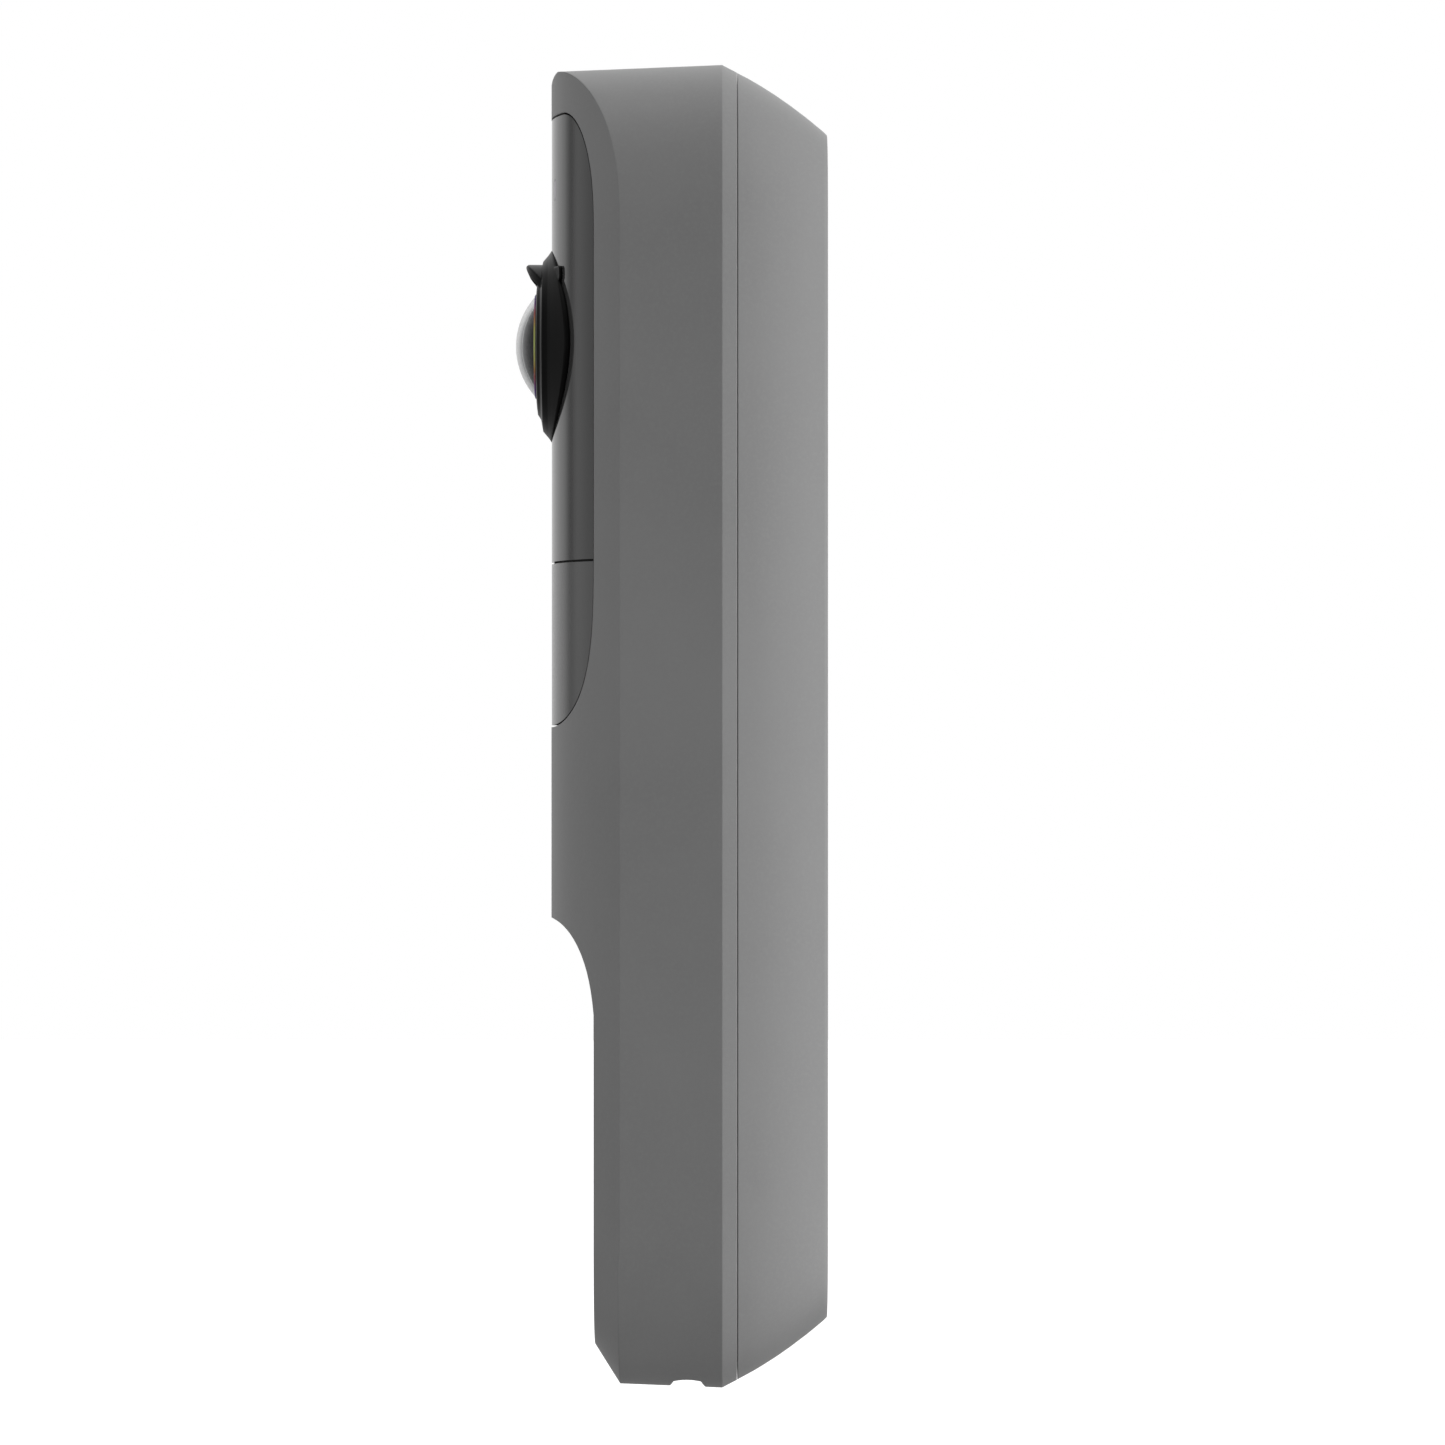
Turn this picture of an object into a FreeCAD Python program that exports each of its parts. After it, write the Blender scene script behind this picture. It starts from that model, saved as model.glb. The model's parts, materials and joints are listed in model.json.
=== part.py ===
import FreeCAD, Part
import math
import os

os.makedirs("parts", exist_ok=True)
V = FreeCAD.Vector

# Video doorbell. Millimetres. The wall is the plane Y = 0, the front faces -Y,
# +Z is up, X runs across. The origin is the centre of the rear face.

# ---- overall form ----
HALF_W = 24.0            # half width at the widest edge
HALF_H = 72.0            # half height at the widest edge
Y_WIDE = -11.4           # widest edge, at the back of the side wall
Y_SEAM = -9.8            # rear rim of the front housing
Y_BASE = -9.75           # front rim of the wall base
DRAFT = 2.3              # taper of the side wall, degrees
CORNER = 19.9            # length of each corner curve
CORNER_N = 2.88          # exponent of the corner curve
Y_FRONT = -30.15         # crest of the arched front
ARC_R = 39.4             # radius of the arched front
ARC_Y = Y_FRONT + ARC_R
CREST_R = 1.4            # rounding over the crest at the top of the front

# ---- flat lower front ----
Y_FLAT = -25.2
FLAT_TOP = -20.96        # top of the cut-back area
FLAT_HALF = 19.5
FLAT_A, FLAT_B, FLAT_N = 19.39, 18.96, 3.58

# ---- insert panels ----
PANEL_T = 1.5
PANEL_HALF = 19.05
PANEL_TOP = 66.45
PANEL_LOW = 0.0
PANEL_SPLIT = 17.85
PANEL_GAP = 0.2

# ---- walls ----
WALL_SIDE = 2.6
WALL_FRONT = 3.2
WALL_FLAT = 2.2
COVER_REAR = -10.6
COVER_FRONT = -12.4

# ---- camera ----
LENS_Z = 41.7
DOME_R = 8.19
DOME_TIP = -34.06
DOME_T = 0.59

# ---- call button ----
BUTTON_Z = -46.0
BUTTON_R = 10.68
RING_IN = 10.76
RING_OUT = 13.0
BUTTON_TRAVEL = 0.6

# ---- boards ----
BOARD_FRONT = -15.4
BOARD_REAR = -14.2
FRONT_BOARD_Y = -23.4
BUTTON_BOARD_Y = -19.0

# ---- wall base ----
BASE_WALL = 2.2
PLATE_T = 2.4
POST_R = 2.0
POST_Z = (52.0, -52.0)
WALL_HOLE_R = 2.25
WALL_HOLE_Z = 42.0
CABLE_Z = -14.0
LOCK_Y = -5.6


def save(name, shape):
    if hasattr(shape, "removeSplitter"):
        shape = shape.removeSplitter()
    solids = shape.Solids
    if len(solids) == 1:
        shape = solids[0]
    else:
        shape = Part.makeCompound(solids)
    shape.exportStep("parts/%s.step" % name)
    print("%-20s solids %d volume %.2f valid %s" % (name, len(solids), shape.Volume, shape.isValid()))


def corner_points(a, b, n, count=15):
    out = []
    for i in range(count):
        t = math.pi / 2 * i / (count - 1)
        c, s = math.cos(t), math.sin(t)
        out.append((a * max(c, 0.0) ** (2.0 / n), b * max(s, 0.0) ** (2.0 / n)))
    out[0] = (a, 0.0)
    out[-1] = (0.0, b)
    return out


def spline(points, t0, t1):
    c = Part.BSplineCurve()
    c.interpolate(Points=points, InitialTangent=t0, FinalTangent=t1)
    return c.toShape()


def outline(y, w, top, bottom, top_ab, low_ab, n_top, n_low=None):
    """Closed outline in the plane Y = y: straight edges with a soft curve at each corner."""
    n_low = n_low or n_top
    ta, tb = top_ab
    la, lb = low_ab
    ct = corner_points(ta, tb, n_top)
    cl = corner_points(la, lb, n_low)
    up, dn, rt, lf = V(0, 0, 1), V(0, 0, -1), V(1, 0, 0), V(-1, 0, 0)
    tr = [V(w - ta + x, y, top - tb + z) for x, z in ct]
    tl = [V(-(w - ta + x), y, top - tb + z) for x, z in reversed(ct)]
    bl = [V(-(w - la + x), y, bottom + lb - z) for x, z in cl]
    br = [V(w - la + x, y, bottom + lb - z) for x, z in reversed(cl)]
    edges = [spline(tr, up, lf)]
    if (tl[0] - tr[-1]).Length > 1e-4:
        edges.append(Part.makeLine(tr[-1], tl[0]))
    edges.append(spline(tl, lf, dn))
    edges.append(Part.makeLine(tl[-1], bl[0]))
    edges.append(spline(bl, dn, rt))
    if (br[0] - bl[-1]).Length > 1e-4:
        edges.append(Part.makeLine(bl[-1], br[0]))
    edges.append(spline(br, rt, up))
    edges.append(Part.makeLine(br[-1], tr[0]))
    return Part.Wire(edges)


def body_outline(y, inset):
    a = CORNER - inset
    return outline(y, HALF_W - inset, HALF_H - inset, -(HALF_H - inset), (a, a), (a, a), CORNER_N)


def loft(sections, ruled=True):
    return Part.makeLoft([body_outline(y, i) for y, i in sections], True, ruled)


def prism(wire, y1):
    y0 = wire.Vertexes[0].Point.y
    return Part.Face(wire).extrude(V(0, y1 - y0, 0))


def box(x0, x1, y0, y1, z0, z1):
    return Part.makeBox(x1 - x0, y1 - y0, z1 - z0, V(x0, y0, z0))


def rod(r, y0, y1, x=0.0, z=0.0):
    """Cylinder along Y."""
    return Part.makeCylinder(r, y1 - y0, V(x, y0, z), V(0, 1, 0))


def tube(ro, ri, y0, y1, x=0.0, z=0.0):
    return rod(ro, y0, y1, x, z).cut(rod(ri, y0 - 1, y1 + 1, x, z))


def rod_z(r, z0, z1, x, y):
    return Part.makeCylinder(r, z1 - z0, V(x, y, z0), V(0, 0, 1))


def arc_solid(r):
    """Everything behind an arched surface of radius r about the front's own axis."""
    return Part.makeCylinder(r, 200, V(0, ARC_Y, -100), V(0, 0, 1))


def turned(profile, z):
    """Turned solid about the Y axis through (0, z); profile lists (radius, y)."""
    pts = [V(r, y, z) for r, y in profile]
    pts.append(pts[0])
    face = Part.Face(Part.makePolygon(pts))
    return face.revolve(V(0, 0, z), V(0, 1, 0), 360)


def fuse(first, *others):
    for o in others:
        first = first.fuse(o)
    return first


def cut(first, *others):
    for o in others:
        first = first.cut(o)
    return first


def taper(y):
    return math.tan(math.radians(DRAFT)) * (Y_WIDE - y)


# =====================================================================
# Front housing
# =====================================================================
outer = loft([(-34.0, taper(-34.0)), (Y_WIDE, 0.0), (Y_SEAM, 0.82)])
outer = outer.common(arc_solid(ARC_R))

# the crest of the arch rolls over into the top; the rounding dies out towards the sides
dr = math.radians(DRAFT)
cy = Y_FRONT + CREST_R
cz = (HALF_H * math.cos(dr) - CREST_R - (Y_WIDE - cy) * math.sin(dr)) / math.cos(dr)
mid = math.radians(135.0 - DRAFT / 2)
crest = Part.Wire([
    Part.makeLine(V(-30, Y_FRONT, -80), V(-30, Y_FRONT, cz)),
    Part.Arc(V(-30, Y_FRONT, cz), V(-30, cy + CREST_R * math.cos(mid), cz + CREST_R * math.sin(mid)),
             V(-30, cy - CREST_R * math.sin(dr), cz + CREST_R * math.cos(dr))).toShape(),
    Part.makeLine(V(-30, cy - CREST_R * math.sin(dr), cz + CREST_R * math.cos(dr)), V(-30, -18, 72.6)),
    Part.makeLine(V(-30, -18, 72.6), V(-30, 0, 80)),
    Part.makeLine(V(-30, 0, 80), V(-30, 0, -80)),
    Part.makeLine(V(-30, 0, -80), V(-30, Y_FRONT, -80))])
outer = outer.common(Part.Face(crest).extrude(V(60, 0, 0)))

# the lower front is cut back to a flat, bounded above by a rounded step
flat_tool = prism(outline(-45.0, FLAT_HALF, FLAT_TOP, -90.0, (FLAT_A, FLAT_B), (2.0, 2.0), FLAT_N, 2.0), Y_FLAT)
# the sloping flank of the arched front carries on round the bottom corners
edge = Part.makeLoft([
    outline(-25.2, 19.26, 67.35, -67.35, (15.7, 15.7), (15.7, 15.7), CORNER_N),
    outline(-22.45, 23.68, 71.58, -71.58, (19.6, 19.6), (19.6, 19.6), CORNER_N),
    outline(-21.0, 26.0, 73.8, -73.8, (21.7, 21.7), (21.7, 21.7), CORNER_N)], True, True)
below = box(-40, 40, -45, -21.0, -90, -42.0).cut(edge)
outer = cut(outer, flat_tool, below)

cavity = loft([(-34.0, WALL_SIDE + taper(-34.0)), (-13.0, WALL_SIDE), (-9.0, WALL_SIDE)])
cavity = cavity.common(arc_solid(ARC_R - WALL_FRONT))
cavity = cavity.cut(box(-40, 40, -45, Y_FLAT + WALL_FLAT, -90, -16.8))

panel_region = prism(outline(-45.0, PANEL_HALF + PANEL_GAP / 2, PANEL_TOP + PANEL_GAP / 2, PANEL_LOW - PANEL_GAP / 2,
                             (9.2, 13.4), (18.9, 20.8), 2.55, 3.85), -15.0)
pocket = panel_region.cut(arc_solid(ARC_R - PANEL_T - 0.04))

housing = cut(outer, cavity, pocket)

cover_bosses = [(-16.5, 57.0), (16.5, 57.0), (-16.5, -56.0), (16.5, -56.0)]
board_posts = [(-14.8, 26.0), (14.8, 26.0), (-14.8, -27.0), (14.8, -27.0)]
button_posts = [(-16.2, BUTTON_Z), (16.2, BUTTON_Z)]
front_posts = [(-11.0, 62.0), (11.0, 62.0)]


def post(x, z, r, y1):
    """Post that stands on the inside of the front wall."""
    return rod(r, -28.0, y1, x, z).common(cavity)


adds = [post(x, z, 3.0, COVER_FRONT) for x, z in cover_bosses]
adds += [post(x, z, 2.0, BOARD_FRONT) for x, z in board_posts]
adds += [post(x, z, 1.8, BUTTON_BOARD_Y) for x, z in button_posts]
adds += [post(x, z, 1.8, FRONT_BOARD_Y) for x, z in front_posts]
housing = fuse(housing, *adds)
holes = [rod(1.2, -20.5, -12.0, x, z) for x, z in cover_bosses]
holes += [rod(1.0, -20.0, -15.0, x, z) for x, z in board_posts]
holes += [rod(0.9, -21.8, -18.5, x, z) for x, z in button_posts]
# camera neck, infrared windows, microphone port, light pipe, motion window
holes.append(rod(9.05, -32.0, -20.0, 0, LENS_Z))
IR_R = 11.3
IR_LEDS = [(IR_R * math.cos(math.radians(a)), LENS_Z + IR_R * math.sin(math.radians(a))) for a in (35, 145, 215, 325)]
holes += [rod(1.75, -32.0, -24.0, x, z) for x, z in IR_LEDS]
holes.append(rod(0.7, -32.0, -24.0, 0, 60.0))
holes.append(rod(1.15, -32.0, -24.0, 6.0, 58.5))
holes.append(rod(7.2, -32.0, -24.0, 0, 9.0))
# call button opening
holes.append(rod(RING_OUT + 0.04, -26.0, -22.0, 0, BUTTON_Z))
# sound groove across the underside and the row of sound holes in it
GROOVE_Y = -15.17
groove = Part.Wire([
    Part.makeLine(V(-30, GROOVE_Y - 2.6, -72.9), V(-30, GROOVE_Y - 1.48, -70.72)),
    Part.Arc(V(-30, GROOVE_Y - 1.48, -70.72), V(-30, GROOVE_Y, -70.5), V(-30, GROOVE_Y + 1.48, -70.72)).toShape(),
    Part.makeLine(V(-30, GROOVE_Y + 1.48, -70.72), V(-30, GROOVE_Y + 2.6, -72.9)),
    Part.makeLine(V(-30, GROOVE_Y + 2.6, -72.9), V(-30, GROOVE_Y - 2.6, -72.9))])
holes.append(Part.Face(groove).extrude(V(60, 0, 0)))
SOUND_X = [-9.0, -6.0, -3.0, 0.0, 3.0, 6.0, 9.0]
holes += [rod_z(0.75, -75.0, -66.0, x, GROOVE_Y) for x in SOUND_X]
housing = cut(housing, *holes)
save("front_housing", housing)

# =====================================================================
# Insert panels
# =====================================================================
panel_sheet = prism(outline(-45.0, PANEL_HALF - PANEL_GAP / 2, PANEL_TOP - PANEL_GAP / 2, PANEL_LOW + PANEL_GAP / 2,
                            (9.1, 13.3), (18.8, 20.7), 2.55, 3.85), -15.0)
panel_sheet = panel_sheet.common(arc_solid(ARC_R - 0.04)).cut(arc_solid(ARC_R - PANEL_T))
camera_panel = panel_sheet.common(box(-40, 40, -45, 0, PANEL_SPLIT + 0.12, 90))
camera_panel = cut(camera_panel, rod(9.05, -45, 0, 0, LENS_Z), rod(0.6, -45, 0, 0, 60.0), rod(1.15, -45, 0, 6.0, 58.5))
save("camera_panel", camera_panel)
sensor_panel = panel_sheet.common(box(-40, 40, -45, 0, -10, PANEL_SPLIT - 0.12))
save("sensor_panel", sensor_panel)

# =====================================================================
# Lens bezel with its brow
# =====================================================================
BEZEL_A, BEZEL_B, BEZEL_N = 13.25, 10.6, 1.88      # outline of the bezel where it stands on the arched panel
VISOR_IN, VISOR_OUT = 8.1, 9.0
VISOR_TIP = -32.93
VISOR_PLAN_R = 9.5
flare = turned([(5.6, -31.2), (7.0, -31.2), (7.0, -31.69), (7.5, -31.63), (8.04, -31.28), (9.34, -31.05), (10.08, -30.42), (10.6, -30.08),
                (13.7, -28.15), (13.7, -25.0), (5.6, -25.0)], LENS_Z)
q = corner_points(BEZEL_A, BEZEL_B, BEZEL_N, 13)
up, dn, rt, lf = V(0, 0, 1), V(0, 0, -1), V(1, 0, 0), V(-1, 0, 0)
quarters = [spline([V(x, -36, LENS_Z + z) for x, z in q], up, lf),
            spline([V(-x, -36, LENS_Z + z) for x, z in reversed(q)], lf, dn),
            spline([V(-x, -36, LENS_Z - z) for x, z in q], dn, rt),
            spline([V(x, -36, LENS_Z - z) for x, z in reversed(q)], rt, up)]
oval = Part.Face(Part.Wire(quarters))
flare = flare.common(oval.extrude(V(0, 12.0, 0))).cut(arc_solid(ARC_R - 0.02))
neck = turned([(5.6, -31.2), (9.0, -31.0), (9.0, -25.6), (7.4, -25.6), (7.4, -30.2), (5.6, -30.2)], LENS_Z)
# visor over the lens: a slice of tube whose front is bowed in plan, so that it dies into the bezel at both sides
visor = turned([(VISOR_IN, -31.0), (VISOR_IN, -32.5), (8.38, -32.8), (8.66, VISOR_TIP), (8.86, -32.84), (VISOR_OUT, -32.66),
                (VISOR_OUT, -31.0)], LENS_Z)
visor = visor.common(box(-9, 9, -34, -30, LENS_Z + 4.0, LENS_Z + 12))
visor = visor.common(Part.makeCylinder(VISOR_PLAN_R, 30, V(0, VISOR_TIP + VISOR_PLAN_R, LENS_Z), V(0, 0, 1)))
# a small lug at each side, beside the visor
lugs = []
for sx in (-1, 1):
    lug = box(min(sx * 7.2, sx * 10.35), max(sx * 7.2, sx * 10.35), -32.0, -26.0, 48.35, 50.0)
    lug = lug.makeFillet(0.6, [e for e in lug.Edges if abs(e.Vertexes[0].Point.y - e.Vertexes[-1].Point.y) > 1.0
                               and abs(e.Vertexes[0].Point.x) > 10.0])
    lugs.append(lug.common(arc_solid(ARC_R + 0.3)).cut(arc_solid(ARC_R - 0.02)))
bezel = fuse(flare, neck, visor, *lugs)
save("lens_bezel", bezel)

# =====================================================================
# Camera
# =====================================================================
dome_c = V(0, DOME_TIP + DOME_R, LENS_Z)
in_front = box(-20, 20, -40, -31.2, LENS_Z - 20, LENS_Z + 20)
dome = Part.makeSphere(DOME_R, dome_c).cut(Part.makeSphere(DOME_R - DOME_T, dome_c)).common(in_front)
save("lens_dome", dome)
save("lens_ring", turned([(6.3, -31.2), (6.3, -31.62), (6.45, -31.75), (6.97, -31.7), (6.97, -31.2)], LENS_Z))
front_element = Part.makeSphere(DOME_R - DOME_T - 0.1, dome_c).common(in_front)
save("front_lens", front_element)
barrel = tube(5.5, 4.6, -31.2, -20.4, 0, LENS_Z)
save("lens_barrel", barrel)
rear_lens = rod(4.6, -25.0, -21.6, 0, LENS_Z).cut(Part.makeSphere(9.0, V(0, -33.2, LENS_Z)))
save("rear_lens", rear_lens)

FRAME_F, FRAME_R = -20.4, -16.2
frame = box(-11, 11, FRAME_F, FRAME_R, LENS_Z - 6.5, LENS_Z + 6.5)
frame = cut(frame, rod(3.2, -21, -19, 0, LENS_Z), box(-10.2, 10.2, -19.4, -18.3, LENS_Z - 3.6, LENS_Z + 3.6),
            box(-4.0, 4.0, -18.5, -16.0, LENS_Z - 3.5, LENS_Z + 3.5))
save("filter_frame", frame)
save("ir_cut_filter", box(-9.9, 4.1, -19.35, -18.35, LENS_Z - 3.5, LENS_Z + 3.5))
save("image_sensor", box(-3.6, 3.6, -17.2, -16.2, LENS_Z - 3.1, LENS_Z + 3.1))
save("camera_board", box(-11, 11, -16.2, BOARD_FRONT, LENS_Z - 8.0, LENS_Z + 8.0))

# =====================================================================
# Front board: infrared LEDs, microphone, light sensor
# =====================================================================
front_board = box(-13, 13, FRONT_BOARD_Y, FRONT_BOARD_Y + 0.8, 30, 64).cut(rod(9.3, -30, -20, 0, LENS_Z))
save("front_board", front_board)
leds = []
for x, z in IR_LEDS:
    led = rod(1.4, -25.0, FRONT_BOARD_Y, x, z).fuse(Part.makeSphere(1.4, V(x, -25.0, z)))
    leds.append(led.removeSplitter())
save("ir_leds", Part.makeCompound([s for l in leds for s in l.Solids]))
save("microphone", rod(2.0, -25.6, FRONT_BOARD_Y, 0, 60.0))
boot = rod(2.7, -26.85, FRONT_BOARD_Y, 0, 60.0).common(arc_solid(ARC_R - WALL_FRONT))
save("mic_boot", cut(boot, rod(2.0, -25.6, -20, 0, 60.0), rod(0.6, -30, -25, 0, 60.0)))
save("light_sensor", box(5.0, 7.0, -24.6, FRONT_BOARD_Y, 57.5, 59.5))
save("light_pipe", rod(1.1, -32.0, -24.65, 6.0, 58.5).common(arc_solid(ARC_R - 0.04)))

# =====================================================================
# Motion sensor
# =====================================================================
save("motion_film", rod(7.15, -32.0, -25.0, 0, 9.0).common(arc_solid(ARC_R - PANEL_T - 0.05)).cut(arc_solid(ARC_R - PANEL_T - 0.65)))
save("motion_sensor", fuse(rod(4.1, -24.4, -20.3, 0, 9.0), rod(4.6, -20.3, -19.8, 0, 9.0)))
save("motion_holder", tube(5.2, 3.9, -19.8, BOARD_FRONT, 0, 9.0))

# =====================================================================
# Main board and what stands on it
# =====================================================================
board = box(-16.5, 16.5, BOARD_FRONT, BOARD_REAR, -44, 61)
board = cut(board, *[rod(3.3, -16, -13, x, z) for x, z in cover_bosses[:2]])
board = cut(board, *[rod(1.05, -16, -13, x, z) for x, z in board_posts])
save("main_board", board)
screws = [fuse(rod(1.9, BOARD_REAR, BOARD_REAR + 1.1, x, z), rod(0.95, -19.5, BOARD_REAR, x, z)).cut(rod(0.7, BOARD_REAR + 0.4, -12, x, z))
          for x, z in board_posts]
save("board_screws", Part.makeCompound([s for k in screws for s in k.Solids]))
shields = [box(-11, 11, -17.4, BOARD_FRONT, 16.5, 29.0), box(-10, 10, -17.4, BOARD_FRONT, 51.0, 60.0)]
save("board_shields", Part.makeCompound(shields))
save("antenna", box(20.75, 21.05, -19.0, -14.0, 4.0, 40.0))
cell = box(-11.5, 11.5, -22.4, -16.6, -31.0, 2.0)
save("backup_cell", cell.makeFillet(1.4, cell.Edges))
save("cell_pad", box(-9, 9, -16.6, BOARD_FRONT, -28.0, -2.0))
save("usb_socket", cut(box(-4.5, 4.5, BOARD_REAR, -10.75, 17.5, 25.0), box(-4.0, 4.0, -13.5, -10.0, 19.6, 22.9)).fuse(
    box(-3.0, 3.0, -13.5, -11.2, 20.9, 21.6)))
save("reset_switch", box(-9.7, -6.3, BOARD_REAR, -13.2, 10.3, 13.7))
save("tamper_switch", box(8.0, 12.0, BOARD_REAR, -13.1, -20.0, -16.0))

# =====================================================================
# Call button
# =====================================================================
ring = fuse(tube(RING_OUT, RING_IN, Y_FLAT, -22.2, 0, BUTTON_Z), tube(14.0, RING_IN, -23.0, -22.2, 0, BUTTON_Z))
save("light_ring", ring)
cap = fuse(rod(BUTTON_R, Y_FLAT, -21.5, 0, BUTTON_Z), rod(12.2, -22.15, -21.5, 0, BUTTON_Z))
cap = cut(cap, rod(9.4, -23.6, -21.0, 0, BUTTON_Z))
cap = fuse(cap, rod(2.2, -23.8, -20.9, 0, BUTTON_Z))
DISH_R = 95.0
cap = cap.cut(Part.makeSphere(DISH_R, V(0, Y_FLAT - DISH_R + 0.5, BUTTON_Z)))
cap = cap.removeSplitter()
save("call_button", cap)
bb = fuse(box(-12.8, 12.8, BUTTON_BOARD_Y, -18.2, BUTTON_Z - 14.5, BUTTON_Z + 14.5),
          box(-18.0, 18.0, BUTTON_BOARD_Y, -18.2, BUTTON_Z - 4, BUTTON_Z + 4))
bb = cut(bb, *[rod(0.95, -20, -17, x, z) for x, z in button_posts])
save("button_board", bb)
save("button_switch", fuse(box(-3.1, 3.1, -20.0, BUTTON_BOARD_Y, BUTTON_Z - 3.1, BUTTON_Z + 3.1), rod(1.7, -20.22, -20.0, 0, BUTTON_Z)))
bl = []
for k in range(6):
    a = math.radians(30 + 60 * k)
    x, z = 11.6 * math.cos(a), BUTTON_Z + 11.6 * math.sin(a)
    bl.append(box(x - 0.8, x + 0.8, -19.7, BUTTON_BOARD_Y, z - 0.8, z + 0.8))
save("ring_leds", Part.makeCompound(bl))
bs = [fuse(rod(1.7, -18.2, -17.1, x, z), rod(0.85, -21.6, -18.2, x, z)).cut(rod(0.6, -17.7, -16, x, z)) for x, z in button_posts]
save("button_screws", Part.makeCompound([s for k in bs for s in k.Solids]))

# =====================================================================
# Speaker
# =====================================================================
room = cavity.common(box(-40, 40, -22, -11.0, -90, -60))
inner_lo = outline(-30.0, HALF_W - WALL_SIDE - 0.45, HALF_H - WALL_SIDE - 0.45, -(HALF_H - WALL_SIDE - 0.45),
                   (16.9, 16.9), (16.9, 16.9), CORNER_N)
inner_prism = prism(inner_lo, -5.0)
save("speaker_mesh", box(-11, 11, -17.6, -13.2, -75, -67.2).common(room).cut(inner_prism))
seal = box(-12.4, 12.4, -19.4, -13.2, -75, -67.2).common(inner_prism)
seal = seal.cut(box(-10.4, 10.4, -17.4, -14.0, -75, -60)).common(room)
save("speaker_seal", seal)
spk = box(-12.4, 12.4, -19.4, -13.2, -67.2, -62.6)
spk = cut(spk, box(-11.4, 11.4, -18.4, -14.2, -68, -63.6))
save("speaker_frame", spk)
save("speaker_cone", box(-11.4, 11.4, -18.4, -14.2, -66.4, -66.0).cut(box(-9.6, 9.6, -17.4, -15.2, -67, -66.15)))
save("speaker_magnet", fuse(box(-6.0, 6.0, -18.2, -14.4, -62.6, -61.0), box(-5, 5, -17.6, -15.0, -61.0, -60.7)))

# =====================================================================
# Back cover of the front unit
# =====================================================================
cover = prism(body_outline(COVER_FRONT, WALL_SIDE + 0.08), COVER_REAR)
for pz in POST_Z:
    cover = cover.fuse(rod(3.4, -13.6, COVER_FRONT, 0, pz))
cover = cover.fuse(box(-3, 3, COVER_REAR, -3.4, -63.7, -60.0))
cuts = [rod(POST_R + 0.08, -12.8, -10.0, 0, pz) for pz in POST_Z]
cuts += [rod(1.25, -14, -10, x, z) for x, z in cover_bosses]
cuts += [rod(2.35, -11.7, -10, x, z) for x, z in cover_bosses]
cuts.append(box(-4.7, 4.7, -14, -10, 17.3, 25.2))
cuts.append(rod(1.7, -14, -10, -8.0, 12.0))
cuts.append(rod(1.6, -14, -10, 10.0, -18.0))
cuts.append(rod_z(1.62, -65, -61.4, 0, LOCK_Y))
cover = cut(cover, *cuts)
save("back_cover", cover)
sealr = prism(body_outline(-13.0, WALL_SIDE + 0.05), COVER_FRONT).cut(prism(body_outline(-14.0, WALL_SIDE + 1.5), -11.0))
sealr = cut(sealr, *[rod(3.05, -15, -11, x, z) for x, z in cover_bosses])
save("cover_seal", sealr)
cs = [fuse(rod(2.25, -11.7, -10.65, x, z), rod(1.15, -20.0, -11.7, x, z)).cut(rod(0.9, -11.2, -10, x, z)) for x, z in cover_bosses]
save("cover_screws", Part.makeCompound([s for k in cs for s in k.Solids]))

# reset button and tamper plunger, both pressed towards the front
save("reset_button", fuse(rod(1.62, -12.45, -10.1, -8.0, 12.0), rod(2.2, -12.85, -12.45, -8.0, 12.0)))
save("tamper_plunger", fuse(rod(1.52, -12.45, -4.05, 10.0, -18.0), rod(2.2, -12.75, -12.45, 10.0, -18.0)))

# terminal block
TERM_Z = -29.0
block = box(-11, 11, COVER_REAR, -6.8, TERM_Z - 5.0, TERM_Z + 5.0)
block = cut(block, box(-9.4, -1.2, -7.6, -6, TERM_Z - 6.0, TERM_Z + 4.0), box(1.2, 9.4, -7.6, -6, TERM_Z - 6.0, TERM_Z + 4.0),
            rod(1.5, -10.4, -6, -5.3, TERM_Z), rod(1.5, -10.4, -6, 5.3, TERM_Z))
save("terminal_block", block)
plates = [box(sx * 5.3 - 3.6, sx * 5.3 + 3.6, -7.6, -6.85, TERM_Z - 3.6, TERM_Z + 3.6).cut(rod(1.5, -9, -6, sx * 5.3, TERM_Z)) for sx in (-1, 1)]
save("terminal_plates", Part.makeCompound([s for k in plates for s in k.Solids]))
for nm, sx in (("terminal_screw_l", -1), ("terminal_screw_r", 1)):
    s = fuse(rod(2.6, -6.82, -5.3, sx * 5.3, TERM_Z), rod(1.42, -10.2, -6.82, sx * 5.3, TERM_Z))
    s = s.cut(box(sx * 5.3 - 3, sx * 5.3 + 3, -5.9, -5.0, TERM_Z - 0.35, TERM_Z + 0.35))
    save(nm, s)

# =====================================================================
# Wall base
# =====================================================================
base = Part.makeLoft([body_outline(y, i) for y, i in ((Y_BASE, 0.86), (-6.6, 2.62), (-3.3, 4.86), (-0.35, 7.2))], True, False)
base = base.fuse(Part.makeLoft([body_outline(-0.35, 7.2), body_outline(0.0, 7.55)], True, True))
hollow = loft([(-11.0, 0.86 + BASE_WALL - 0.7), (Y_BASE, 0.86 + BASE_WALL), (-6.6, 2.62 + BASE_WALL), (-PLATE_T, 5.5 + BASE_WALL + 0.3)])
base = base.cut(hollow)
for pz in POST_Z:
    base = base.fuse(rod(POST_R, -12.6, -1.5, 0, pz))
    base = base.fuse(Part.makeCone(3.4, 2.6, 3.0, V(0, -1.5, pz), V(0, -1, 0)))
base = base.fuse(rod(2.6, -4.0, -1.5, 10.0, -18.0))
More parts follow.
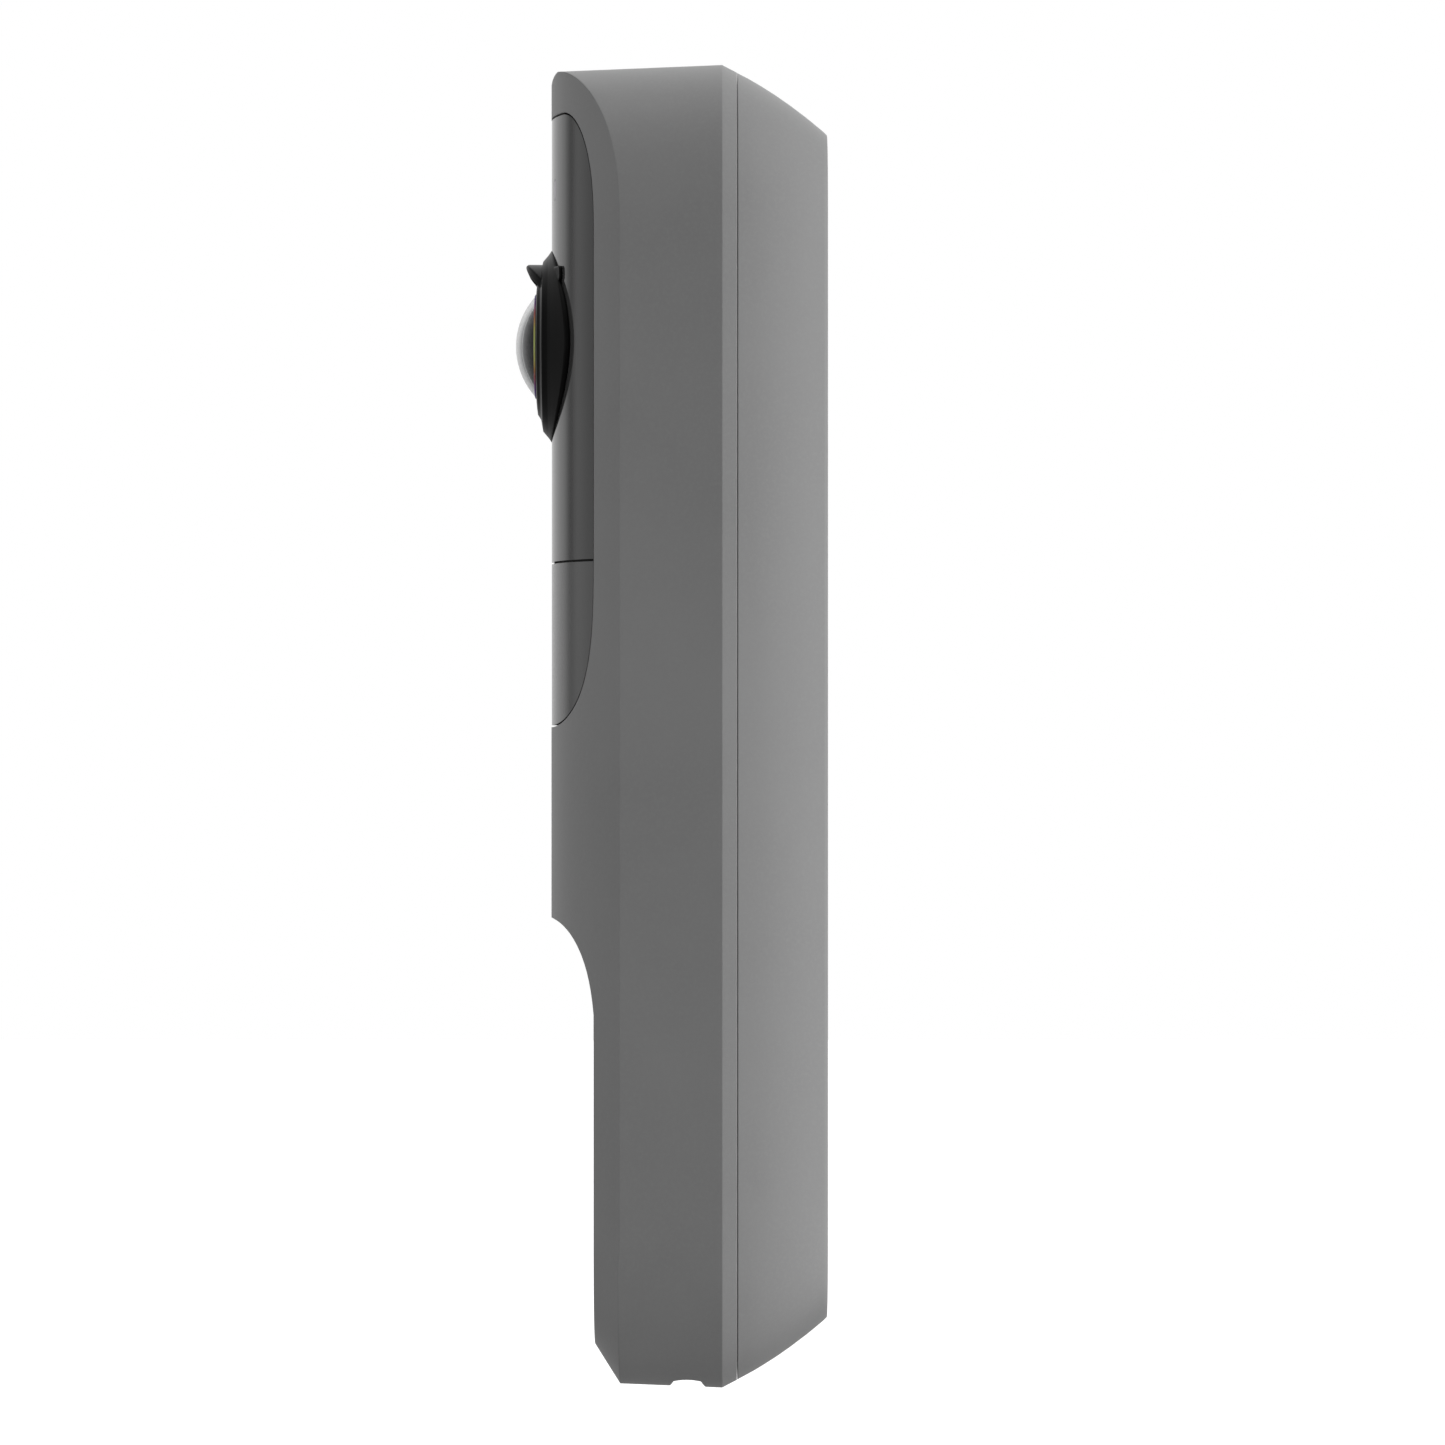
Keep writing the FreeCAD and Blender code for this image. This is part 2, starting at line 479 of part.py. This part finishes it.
lock_boss = box(-4, 4, -8.8, -1.5, -69.5, -63.95).common(loft([(Y_BASE, 0.95), (-6.6, 2.7), (-3.3, 4.95), (-0.5, 7.3)]))
base = base.fuse(lock_boss)
cuts = [rod(WALL_HOLE_R, -6, 2, 0, z) for z in (WALL_HOLE_Z, -WALL_HOLE_Z)]
cuts.append(rod_z(1.55, -75, -62, 0, LOCK_Y))
CAB_W, CAB_H, CAB_R = 5.7, 7.7, 5.6


def stadium(hw, hh, r, y0, y1):
    a = box(-hw, hw, y0, y1, CABLE_Z - hh, CABLE_Z + hh)
    return a.makeFillet(r, [e for e in a.Edges if abs(e.Vertexes[0].Point.y - e.Vertexes[-1].Point.y) > 1.0])


cuts.append(stadium(CAB_W, CAB_H, 5.0, -6.0, 2.0))
gasket_groove = prism(body_outline(-0.8, 9.2), 1.0).cut(prism(body_outline(-1.8, 11.2), 2.0))
cuts.append(gasket_groove)
base = cut(base, *cuts)
save("wall_base", base)
# rubber lip that stands inside the rear rim of the front housing and closes the seam
lip = prism(body_outline(-10.45, WALL_SIDE + 0.12), -8.9).cut(prism(body_outline(-11.0, WALL_SIDE + 1.0), -8.0))
save("seam_seal", lip.cut(base))
save("wall_gasket", prism(body_outline(-0.8, 9.25), 0.0).cut(prism(body_outline(-1.8, 11.15), 2.0)))
grommet = fuse(stadium(CAB_W, CAB_H, 5.0, -5.2, -0.1), stadium(CAB_W + 1.3, CAB_H + 1.3, 6.3, -3.6, -2.4))
grommet = grommet.cut(stadium(CAB_W - 1.2, CAB_H - 1.2, 3.8, -7.0, 2.0))
save("cable_grommet", grommet)
lock = rod_z(1.5, -68.0, -64.2, 0, LOCK_Y).cut(rod_z(0.75, -69.0, -66.6, 0, LOCK_Y))
save("lock_screw", lock)
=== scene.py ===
import json
import math

import bmesh
import bpy
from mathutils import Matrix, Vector


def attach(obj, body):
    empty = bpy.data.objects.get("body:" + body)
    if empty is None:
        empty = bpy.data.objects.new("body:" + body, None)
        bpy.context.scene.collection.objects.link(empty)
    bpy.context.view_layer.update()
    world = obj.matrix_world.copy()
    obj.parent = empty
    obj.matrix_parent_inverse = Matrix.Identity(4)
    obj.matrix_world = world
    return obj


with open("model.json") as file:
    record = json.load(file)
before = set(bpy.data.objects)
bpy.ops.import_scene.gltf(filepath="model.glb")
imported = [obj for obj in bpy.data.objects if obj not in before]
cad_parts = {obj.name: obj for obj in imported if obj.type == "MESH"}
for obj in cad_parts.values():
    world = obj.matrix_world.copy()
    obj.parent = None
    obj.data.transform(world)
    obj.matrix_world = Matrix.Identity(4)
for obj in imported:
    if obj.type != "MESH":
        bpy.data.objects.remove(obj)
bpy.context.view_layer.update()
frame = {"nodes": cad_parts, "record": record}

scene = bpy.context.scene
NODES = frame["nodes"]
MM = 0.001


# ---------------------------------------------------------------------
# Materials
# ---------------------------------------------------------------------
class Graph:
    """Small helper for building one procedural material."""

    def __init__(self, name):
        self.mat = bpy.data.materials.new(name)
        self.mat.use_nodes = True
        self.nt = self.mat.node_tree
        self.bsdf = next(n for n in self.nt.nodes if n.type == "BSDF_PRINCIPLED")
        self.coord = self.nt.nodes.new("ShaderNodeTexCoord").outputs["Object"]

    def new(self, kind, **kw):
        n = self.nt.nodes.new(kind)
        for k, v in kw.items():
            setattr(n, k, v)
        return n

    def link(self, a, b):
        self.nt.links.new(a, b)

    def set(self, **kw):
        for k, v in kw.items():
            self.bsdf.inputs[k.replace("_", " ")].default_value = v

    def noise(self, scale, detail=2.0, rough=0.5, vector=None):
        n = self.new("ShaderNodeTexNoise")
        n.inputs["Scale"].default_value = scale
        n.inputs["Detail"].default_value = detail
        n.inputs["Roughness"].default_value = rough
        self.link(vector or self.coord, n.inputs["Vector"])
        return n.outputs["Fac"]

    def stretched(self, x, y, z):
        m = self.new("ShaderNodeMapping")
        m.inputs["Scale"].default_value = (x, y, z)
        self.link(self.coord, m.inputs["Vector"])
        return m.outputs["Vector"]

    def span(self, value, lo, hi, from_lo=0.3, from_hi=0.7):
        m = self.new("ShaderNodeMapRange")
        m.inputs["From Min"].default_value = from_lo
        m.inputs["From Max"].default_value = from_hi
        m.inputs["To Min"].default_value = lo
        m.inputs["To Max"].default_value = hi
        self.link(value, m.inputs["Value"])
        return m.outputs["Result"]

    def mix(self, fac, a, b):
        m = self.new("ShaderNodeMix", data_type="RGBA")
        if isinstance(fac, float):
            m.inputs[0].default_value = fac
        else:
            self.link(fac, m.inputs[0])
        for i, c in ((6, a), (7, b)):
            if isinstance(c, tuple):
                m.inputs[i].default_value = c if len(c) == 4 else c + (1.0,)
            else:
                self.link(c, m.inputs[i])
        return m.outputs[2]

    def ramp(self, value, stops):
        r = self.new("ShaderNodeValToRGB")
        e = r.color_ramp.elements
        while len(e) > 1:
            e.remove(e[-1])
        for i, (pos, col) in enumerate(stops):
            s = e[0] if i == 0 else e.new(pos)
            s.position = pos
            s.color = col if len(col) == 4 else col + (1.0,)
        self.link(value, r.inputs["Fac"])
        return r.outputs["Color"]

    def math(self, op, a, b=None):
        m = self.new("ShaderNodeMath", operation=op)
        for i, v in enumerate((a, b)):
            if v is None:
                continue
            if isinstance(v, (int, float)):
                m.inputs[i].default_value = v
            else:
                self.link(v, m.inputs[i])
        return m.outputs[0]

    def normal(self, height, strength, distance, bevel=0.0):
        b = self.new("ShaderNodeBump")
        b.inputs["Strength"].default_value = strength
        b.inputs["Distance"].default_value = distance
        self.link(height, b.inputs["Height"])
        if bevel:
            v = self.new("ShaderNodeBevel", samples=6)
            v.inputs["Radius"].default_value = bevel
            self.link(v.outputs["Normal"], b.inputs["Normal"])
        self.link(b.outputs["Normal"], self.bsdf.inputs["Normal"])
        return b.outputs["Normal"]

    def colour(self, out):
        self.link(out, self.bsdf.inputs["Base Color"])

    def rough(self, out):
        self.link(out, self.bsdf.inputs["Roughness"])


def shade(c, f):
    return tuple(min(1.0, v * f) for v in c)


def moulded(name, base, rough=0.45, grain=4200.0, depth=0.012, bump=0.35, vary=0.05, bevel=0.00018, ior=1.5, coat=0.0):
    """Moulded plastic: spark-eroded grain, slight cloudiness of tone and gloss, softened edges."""
    g = Graph(name)
    fine = g.noise(grain, 3.0, 0.6)
    cloud = g.noise(55.0, 3.0, 0.55)
    speck = g.noise(grain * 0.45, 2.0, 0.7)
    tone = g.mix(g.span(cloud, 0.0, 1.0), shade(base, 1.0 - vary), shade(base, 1.0 + vary))
    tone = g.mix(g.span(speck, 0.0, 0.5, 0.45, 0.75), tone, shade(base, 1.0 + 2.2 * vary))
    g.colour(tone)
    g.rough(g.span(g.math("ADD", g.math("MULTIPLY", cloud, 0.6), g.math("MULTIPLY", fine, 0.4)), rough - 0.05, rough + 0.05))
    g.normal(fine, bump, depth * MM, bevel)
    g.set(IOR=ior)
    if coat:
        g.bsdf.inputs["Coat Weight"].default_value = coat
        g.bsdf.inputs["Coat Roughness"].default_value = 0.08
    return g


def glossy(name, base, rough=0.08, vary=0.1, wave=0.004, bevel=0.0001):
    """Polished plastic: faint moulding ripple, very fine dust-like variation in gloss."""
    g = Graph(name)
    ripple = g.noise(38.0, 1.0, 0.4)
    dust = g.noise(2600.0, 4.0, 0.65)
    g.colour(g.mix(g.span(ripple, 0.0, 1.0), shade(base, 1.0 - vary), shade(base, 1.0 + vary)))
    g.rough(g.span(dust, rough * 0.7, rough * 1.5, 0.35, 0.75))
    g.normal(g.math("ADD", g.math("MULTIPLY", ripple, 1.0), g.math("MULTIPLY", dust, 0.004)), 0.25, wave * MM, bevel)
    g.set(IOR=1.5)
    return g


def metal(name, base, rough=0.3, stretch=(1.0, 1.0, 1.0), bevel=0.00008, scale=1500.0):
    """Plated or machined metal with fine tool marks along one direction."""
    g = Graph(name)
    marks = g.noise(scale, 4.0, 0.6, g.stretched(*stretch))
    cloud = g.noise(300.0, 2.0, 0.5)
    g.colour(g.mix(g.span(cloud, 0.0, 1.0), shade(base, 0.88), shade(base, 1.06)))
    g.rough(g.span(marks, rough - 0.08, rough + 0.12))
    g.normal(marks, 0.2, 0.008 * MM, bevel)
    g.set(Metallic=1.0)
    return g


M = {}
GREY = (0.300, 0.300, 0.301)
M["housing_grey"] = moulded("housing_grey", GREY, rough=0.42, grain=5200.0, bump=0.5, vary=0.045, bevel=0.00022)
M["base_grey"] = moulded("base_grey", GREY, rough=0.42, grain=5200.0, bump=0.5, vary=0.045, bevel=0.00022)
M["button_face"] = moulded("button_face", shade(GREY, 1.05), rough=0.36, depth=0.008, bevel=0.00025)
M["cover_grey"] = moulded("cover_grey", (0.045, 0.046, 0.048), rough=0.55, depth=0.02)
M["inner_black"] = moulded("inner_black", (0.012, 0.012, 0.013), rough=0.6, depth=0.02, bevel=0.0001)
M["chip_black"] = moulded("chip_black", (0.018, 0.018, 0.019), rough=0.5, depth=0.01, bevel=0.00008)
M["bezel_black"] = moulded("bezel_black", (0.004, 0.004, 0.0041), rough=0.33, grain=5200.0, depth=0.006, bump=0.25, bevel=0.00032)
M["bezel_black"].bsdf.inputs["Specular IOR Level"].default_value = 0.1
M["rubber_black"] = moulded("rubber_black", (0.014, 0.014, 0.014), rough=0.72, grain=2400.0, depth=0.03, bevel=0.0002)
M["film_white"] = moulded("film_white", (0.75, 0.75, 0.72), rough=0.5, depth=0.01)
M["panel_gloss"] = glossy("panel_gloss", (0.066, 0.066, 0.066), rough=0.09, bevel=0.00004)
M["panel_satin"] = glossy("panel_satin", (0.112, 0.112, 0.112), rough=0.14, bevel=0.00004)
M["sensor_die"] = glossy("sensor_die", (0.05, 0.055, 0.09), rough=0.06, vary=0.5)
M["can_steel"] = metal("can_steel", (0.62, 0.61, 0.60), 0.28, (1.0, 1.0, 0.08))
M["screw_steel"] = metal("screw_steel", (0.55, 0.56, 0.58), 0.32)
M["ring_metal"] = moulded("ring_metal", (0.006, 0.006, 0.006), rough=0.3, grain=2600.0, depth=0.004, bevel=0.00006)
M["ring_metal"].bsdf.inputs["Specular IOR Level"].default_value = 0.25
M["brass"] = metal("brass", (0.72, 0.52, 0.24), 0.3)
M["antenna_copper"] = metal("antenna_copper", (0.72, 0.38, 0.20), 0.35)


def build_foam():
    g = Graph("foam_grey")
    v = g.new("ShaderNodeTexVoronoi")
    v.inputs["Scale"].default_value = 2600.0
    g.link(g.coord, v.inputs["Vector"])
    g.colour(g.ramp(v.outputs["Distance"], [(0.0, (0.006, 0.006, 0.007)), (0.45, (0.035, 0.035, 0.037)), (1.0, (0.06, 0.06, 0.062))]))
    g.rough(g.span(v.outputs["Distance"], 0.95, 0.75, 0.0, 0.8))
    g.normal(v.outputs["Distance"], 0.7, 0.05 * MM, 0.00015)
    return g


M["foam_grey"] = build_foam()


def build_mesh():
    """Woven wire: two crossed families of wires, dark between them."""
    g = Graph("mesh_steel")
    def wires(direction):
        w = g.new("ShaderNodeTexWave", wave_type="BANDS", bands_direction=direction)
        w.inputs["Scale"].default_value = 520.0
        w.inputs["Distortion"].default_value = 0.0
        g.link(g.coord, w.inputs["Vector"])
        return w.outputs["Fac"]
    both = g.math("MAXIMUM", wires("X"), wires("Y"))
    g.colour(g.ramp(both, [(0.0, (0.004, 0.004, 0.004)), (0.55, (0.02, 0.02, 0.02)), (0.8, (0.30, 0.30, 0.31)), (1.0, (0.42, 0.42, 0.43))]))
    g.rough(g.span(both, 0.8, 0.35, 0.5, 1.0))
    g.normal(both, 0.8, 0.04 * MM)
    g.set(Metallic=0.7)
    return g


M["mesh_steel"] = build_mesh()


def build_pcb():
    """Solder mask over copper: tracks show as slightly raised, lighter lines."""
    g = Graph("pcb_green")
    m = g.new("ShaderNodeMapping")
    m.inputs["Rotation"].default_value = (math.radians(90), 0.0, 0.0)
    g.link(g.coord, m.inputs["Vector"])
    b = g.new("ShaderNodeTexBrick")
    b.inputs["Scale"].default_value = 260.0
    b.inputs["Mortar Size"].default_value = 0.012
    b.inputs["Brick Width"].default_value = 1.4
    b.inputs["Row Height"].default_value = 0.31
    b.inputs["Color1"].default_value = (0.006, 0.055, 0.022, 1)
    b.inputs["Color2"].default_value = (0.008, 0.070, 0.028, 1)
    b.inputs["Mortar"].default_value = (0.02, 0.13, 0.05, 1)
    g.link(m.outputs["Vector"], b.inputs["Vector"])
    cloud = g.noise(400.0, 2.0)
    g.colour(g.mix(g.span(cloud, 0.0, 0.35), b.outputs["Color"], (0.012, 0.09, 0.04)))
    g.rough(g.span(cloud, 0.22, 0.38))
    g.normal(b.outputs["Fac"], 0.3, 0.02 * MM, 0.00008)
    return g


M["pcb_green"] = build_pcb()


def build_cell():
    g = Graph("cell_wrap")
    wr = g.noise(150.0, 3.0, 0.6, g.stretched(0.4, 1.0, 1.6))
    g.colour(g.mix(g.span(wr, 0.0, 1.0), (0.03, 0.075, 0.21), (0.045, 0.10, 0.26)))
    g.rough(g.span(wr, 0.22, 0.36))
    g.normal(wr, 0.35, 0.12 * MM, 0.0003)
    return g


M["cell_wrap"] = build_cell()


def build_cone():
    g = Graph("cone_paper")
    f = g.noise(1800.0, 5.0, 0.7)
    g.colour(g.ramp(f, [(0.3, (0.012, 0.012, 0.012)), (0.7, (0.03, 0.03, 0.03))]))
    g.rough(g.span(f, 0.6, 0.85))
    g.normal(f, 0.5, 0.03 * MM)
    return g


M["cone_paper"] = build_cone()


def build_light_guide():
    """Milky light guide: pale, slightly cloudy, glossy, lets some light through."""
    g = Graph("light_guide")
    cloud = g.noise(220.0, 3.0, 0.6)
    g.colour(g.mix(g.span(cloud, 0.0, 1.0), (0.70, 0.72, 0.73), (0.78, 0.80, 0.81)))
    g.rough(g.span(g.noise(1500.0, 2.0), 0.22, 0.34))
    g.normal(cloud, 0.12, 0.02 * MM, 0.00012)
    g.bsdf.inputs["Subsurface Weight"].default_value = 0.35
    g.bsdf.inputs["Subsurface Radius"].default_value = (0.0012, 0.0012, 0.0012)
    g.bsdf.inputs["Coat Weight"].default_value = 0.25
    g.bsdf.inputs["Coat Roughness"].default_value = 0.1
    return g


M["light_guide"] = build_light_guide()


def build_led():
    g = Graph("led_clear")
    c = g.noise(900.0, 2.0)
    g.colour(g.mix(g.span(c, 0.0, 1.0), (0.10, 0.07, 0.13), (0.16, 0.12, 0.19)))
    g.rough(g.span(c, 0.05, 0.12))
    g.normal(c, 0.1, 0.005 * MM)
    return g


M["led_clear"] = build_led()


def build_dome():
    """Clear outer glass with a thin anti-reflection coating."""
    g = Graph("dome_glass")
    dust = g.noise(900.0, 4.0, 0.7)
    g.colour(g.mix(g.span(dust, 0.0, 1.0, 0.5, 0.9), (0.90, 0.905, 0.91), (0.87, 0.875, 0.88)))
    g.rough(g.span(dust, 0.0, 0.004, 0.5, 0.95))
    g.set(IOR=1.49)
    g.bsdf.inputs["Transmission Weight"].default_value = 1.0
    return g


M["dome_glass"] = build_dome()


def build_lens():
    """Dark coated element: near-black, with a faint cloud of violet."""
    g = Graph("lens_glass")
    c = g.noise(120.0, 2.0)
    g.colour(g.mix(g.span(c, 0.0, 1.0), (0.010, 0.010, 0.012), (0.016, 0.014, 0.019)))
    g.rough(g.span(g.noise(700.0, 3.0), 0.03, 0.07))
    g.normal(c, 0.03, 0.005 * MM)
    g.set(IOR=1.5)
    g.bsdf.inputs["Specular IOR Level"].default_value = 0.12
    return g


M["lens_glass"] = build_lens()


def build_filter():
    g = Graph("filter_glass")
    c = g.noise(300.0, 2.0)
    g.colour(g.mix(g.span(c, 0.0, 1.0), (0.25, 0.52, 0.56), (0.30, 0.58, 0.62)))
    g.rough(g.span(c, 0.03, 0.08))
    g.normal(c, 0.05, 0.005 * MM)
    g.bsdf.inputs["Transmission Weight"].default_value = 0.6
    return g


M["filter_glass"] = build_filter()

for sub in frame["record"]["subparts"]:
    o = NODES[sub["node"]]
    o.data.materials.clear()
    o.data.materials.append(M[sub["material_slot"]].mat)


# ---------------------------------------------------------------------
# Painted reflection: a thin band round the foot of the outer glass, its colour the coating's rainbow reflection
# painted in by height
# ---------------------------------------------------------------------
def ring_mesh(name, profile, cz, steps=160):
    """Closed ring turned about the lens axis; profile lists (radius, y) in millimetres."""
    b = bmesh.new()
    loops = []
    for k in range(steps):
        a = 2 * math.pi * k / steps
        loops.append([b.verts.new((r * math.cos(a) * MM, y * MM, (cz + r * math.sin(a)) * MM)) for r, y in profile])
    n = len(profile)
    for k in range(steps):
        p, q = loops[k], loops[(k + 1) % steps]
        for i in range(n):
            f = b.faces.new((p[i], q[i], q[(i + 1) % n], p[(i + 1) % n]))
            f.smooth = True
    bmesh.ops.recalc_face_normals(b, faces=b.faces)
    m = bpy.data.meshes.new(name)
    b.to_mesh(m)
    b.free()
    o = bpy.data.objects.new(name, m)
    scene.collection.objects.link(o)
    return o


LENS_Z = 41.7
DOME_R, DOME_C = 8.19, -25.87


def on_dome(y, off):
    return (math.sqrt((DOME_R + off) ** 2 - (y - DOME_C) ** 2), y)


band = ring_mesh("lens_painted_coating_reflection", [on_dome(-31.78, 0.02), on_dome(-31.84, 0.10), on_dome(-31.92, 0.11), on_dome(-31.98, 0.07), on_dome(-31.99, 0.02)], LENS_Z)
g = Graph("painted_coating_reflection")
sep = g.new("ShaderNodeSeparateXYZ")
g.link(g.coord, sep.inputs[0])
height = g.math("ABSOLUTE", g.math("SUBTRACT", sep.outputs["Z"], LENS_Z * MM))
height = g.math("DIVIDE", height, 5.8 * MM)
wob = g.noise(900.0, 2.0)
height = g.math("ADD", height, g.math("MULTIPLY", g.math("SUBTRACT", wob, 0.5), 0.12))
# painted reflection: rainbow tints of the coating, graded by height from the lens axis
g.colour(g.ramp(height, [(0.0, (0.62, 0.72, 0.22)), (0.30, (0.62, 0.58, 0.16)), (0.48, (0.56, 0.26, 0.08)), (0.62, (0.46, 0.10, 0.12)),
                         (0.80, (0.22, 0.07, 0.36)), (1.0, (0.07, 0.07, 0.36))]))
g.rough(g.span(wob, 0.18, 0.3))
g.normal(wob, 0.1, 0.004 * MM)
g.bsdf.inputs["Specular IOR Level"].default_value = 0.3
band.data.materials.append(g.mat)
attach(band, "front_unit")

# ---------------------------------------------------------------------
# Painted shade: a dark strip set down in the joint between the two front panels, standing in for the shadow in the gap
# ---------------------------------------------------------------------
def arched_strip(name, r_in, r_out, cy, half, z0, z1, steps=72):
    """Curved strip that follows the arch of the front; sizes in millimetres."""
    b = bmesh.new()
    loops = []
    for k in range(steps + 1):
        t = -1.0 + 2.0 * k / steps
        loop = []
        for r, z in ((r_in, z0), (r_out, z0), (r_out, z1), (r_in, z1)):
            x = half * t
            loop.append(b.verts.new((x * MM, (cy - math.sqrt(r * r - x * x)) * MM, z * MM)))
        loops.append(loop)
    for k in range(steps):
        p, q = loops[k], loops[k + 1]
        for i in range(4):
            b.faces.new((p[i], q[i], q[(i + 1) % 4], p[(i + 1) % 4]))
    b.faces.new(loops[0])
    b.faces.new(loops[-1])
    bmesh.ops.recalc_face_normals(b, faces=b.faces)
    m = bpy.data.meshes.new(name)
    b.to_mesh(m)
    b.free()
    o = bpy.data.objects.new(name, m)
    scene.collection.objects.link(o)
    return o


strip = arched_strip("panel_joint_shade_strip", 37.90, 39.08, 9.25, 18.9, 17.750, 17.950)
# near-black rubber colour here is painted shade in the gap between the panels
strip.data.materials.append(M["rubber_black"].mat)
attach(strip, "front_unit")

# ---------------------------------------------------------------------
# Camera, floor and light
# ---------------------------------------------------------------------
cam_data = bpy.data.cameras.new("camera")
cam_data.lens = 182.0
cam_data.sensor_width = 36.0
cam_data.sensor_fit = "HORIZONTAL"
cam_data.clip_start = 0.01
cam_data.clip_end = 20.0
cam = bpy.data.objects.new("camera", cam_data)
scene.collection.objects.link(cam)
cam.location = (0.803, -0.01136, 0.00041)
cam.rotation_euler = (math.radians(90), 0.0, math.radians(90))
scene.camera = cam

# Studio surround: a few broad, soft lobes of light, brightest behind and above
# the object and dim on the camera's side. The backdrop itself is plain white.
SURROUND = {
    (0.0, 1.0, 0.0): 3.0,
    (-1.0, 0.0, 0.0): 0.42,
    (-0.7071, -0.7071, 0.0): 0.1,
    (0.7071, -0.7071, 0.0): 0.86,
    (0.0, 0.0, 1.0): 1.1,
    (-0.8, 0.0, 0.6): 0.6,
    (0.0, 0.0, -1.0): 0.36,
}
world = bpy.data.worlds.new("studio")
world.use_nodes = True
wt = world.node_tree
bg = next(n for n in wt.nodes if n.type == "BACKGROUND")
out = next(n for n in wt.nodes if n.type == "OUTPUT_WORLD")
bg.inputs["Color"].default_value = (1.0, 1.0, 1.0, 1.0)
direction = wt.nodes.new("ShaderNodeTexCoord").outputs["Generated"]


def wmath(op, a, b=0.0):
    m = wt.nodes.new("ShaderNodeMath")
    m.operation = op
    for i, v in enumerate((a, b)):
        if isinstance(v, float):
            m.inputs[i].default_value = v
        else:
            wt.links.new(v, m.inputs[i])
    return m.outputs[0]


total = None
for axis, level in SURROUND.items():
    dot = wt.nodes.new("ShaderNodeVectorMath")
    dot.operation = "DOT_PRODUCT"
    dot.inputs[1].default_value = axis
    wt.links.new(direction, dot.inputs[0])
    lobe = wmath("MULTIPLY", wmath("POWER", wmath("MAXIMUM", dot.outputs["Value"], 0.0), 4.0), level)
    total = lobe if total is None else wmath("ADD", total, lobe)
# the backdrop and the side reflector are parted by a narrow upright gap
parts = wt.nodes.new("ShaderNodeVectorMath")
parts.operation = "DOT_PRODUCT"
parts.inputs[1].default_value = (0.6225, -0.7826, 0.0)
wt.links.new(direction, parts.inputs[0])
off = wmath("DIVIDE", parts.outputs["Value"], 0.075)
gap = wmath("POWER", 2.718, wmath("MULTIPLY", wmath("MULTIPLY", off, off), -1.0))
split = wt.nodes.new("ShaderNodeSeparateXYZ")
wt.links.new(direction, split.inputs[0])
gap = wmath("MULTIPLY", gap, wmath("LESS_THAN", split.outputs["X"], 0.0))
side = wt.nodes.new("ShaderNodeVectorMath")
side.operation = "DOT_PRODUCT"
side.inputs[1].default_value = (-0.60, -0.80, 0.0)
wt.links.new(direction, side.inputs[0])
total = wmath("ADD", total, wmath("MULTIPLY", wmath("POWER", wmath("MAXIMUM", side.outputs["Value"], 0.0), 14.0), 0.2))
total = wmath("MULTIPLY", total, wmath("SUBTRACT", 1.0, wmath("MULTIPLY", gap, 0.62)))
wt.links.new(total, bg.inputs["Strength"])
plain = wt.nodes.new("ShaderNodeBackground")
plain.inputs["Color"].default_value = (1.0, 1.0, 1.0, 1.0)
plain.inputs["Strength"].default_value = 1.0
pick = wt.nodes.new("ShaderNodeMixShader")
path = wt.nodes.new("ShaderNodeLightPath")
wt.links.new(path.outputs["Is Camera Ray"], pick.inputs[0])
wt.links.new(bg.outputs[0], pick.inputs[1])
wt.links.new(plain.outputs[0], pick.inputs[2])
wt.links.new(pick.outputs[0], out.inputs["Surface"])
scene.world = world
scene.view_settings.view_transform = "Standard"

bm = bmesh.new()
bmesh.ops.create_grid(bm, x_segments=8, y_segments=8, size=3.0)
me = bpy.data.meshes.new("floor")
bm.to_mesh(me)
bm.free()
floor = bpy.data.objects.new("floor", me)
floor.location = (0.0, 0.0, -0.165)
floor.visible_diffuse = False
floor.visible_glossy = False
floor.visible_transmission = False
scene.collection.objects.link(floor)
fg = Graph("floor_paper")
fn = fg.noise(6.0, 3.0)
fg.colour(fg.mix(fg.span(fn, 0.0, 1.0), (0.955, 0.955, 0.955), (0.965, 0.965, 0.965)))
fg.rough(fg.span(fn, 0.9, 1.0))
fg.normal(fg.noise(900.0, 3.0), 0.1, 0.0001)
fg.bsdf.inputs["Emission Color"].default_value = (1.0, 1.0, 1.0, 1.0)
fg.bsdf.inputs["Emission Strength"].default_value = 0.6
me.materials.append(fg.mat)
